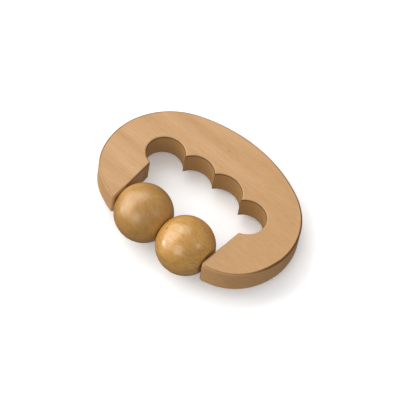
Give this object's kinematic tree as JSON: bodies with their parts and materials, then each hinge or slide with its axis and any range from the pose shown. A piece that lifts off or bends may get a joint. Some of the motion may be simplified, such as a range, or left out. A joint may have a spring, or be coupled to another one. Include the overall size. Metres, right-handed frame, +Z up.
{
  "type": "roller massager",
  "caption": "Hand-held wooden massager: a C-shaped board grip with finger grooves and free-rolling balls on a rod across its open end.",
  "frame": {"origin": "middle of the footprint on the table, with the part lying on its balls and on the lower edge of its back", "axes": "+X along the rod from the left ball to the right ball, +Y from the balls to the back of the grip, +Z up"},
  "size_m": [0.1466, 0.1098, 0.04],
  "materials": {
    "handle_wood": "satin",
    "ball_wood": "gloss varnish",
    "plug_wood": "satin",
    "axle_steel": "drawn"
  },
  "bodies": {
    "handle": {"handle": "handle_wood", "axle": "axle_steel", "axle_plug": "plug_wood"},
    "ball_left": {"ball_left": "ball_wood"},
    "ball_right": {"ball_right": "ball_wood"}
  },
  "joints": [
    {"name": "ball_left_spin", "type": "hinge", "parent": "handle", "child": "ball_left", "pos_m": [-0.01875, -0.03493, 0.02], "axis": [1, 0, 0], "continuous": true},
    {"name": "ball_right_spin", "type": "hinge", "parent": "handle", "child": "ball_right", "pos_m": [0.01775, -0.03493, 0.02], "axis": [1, 0, 0], "continuous": true}
  ]
}
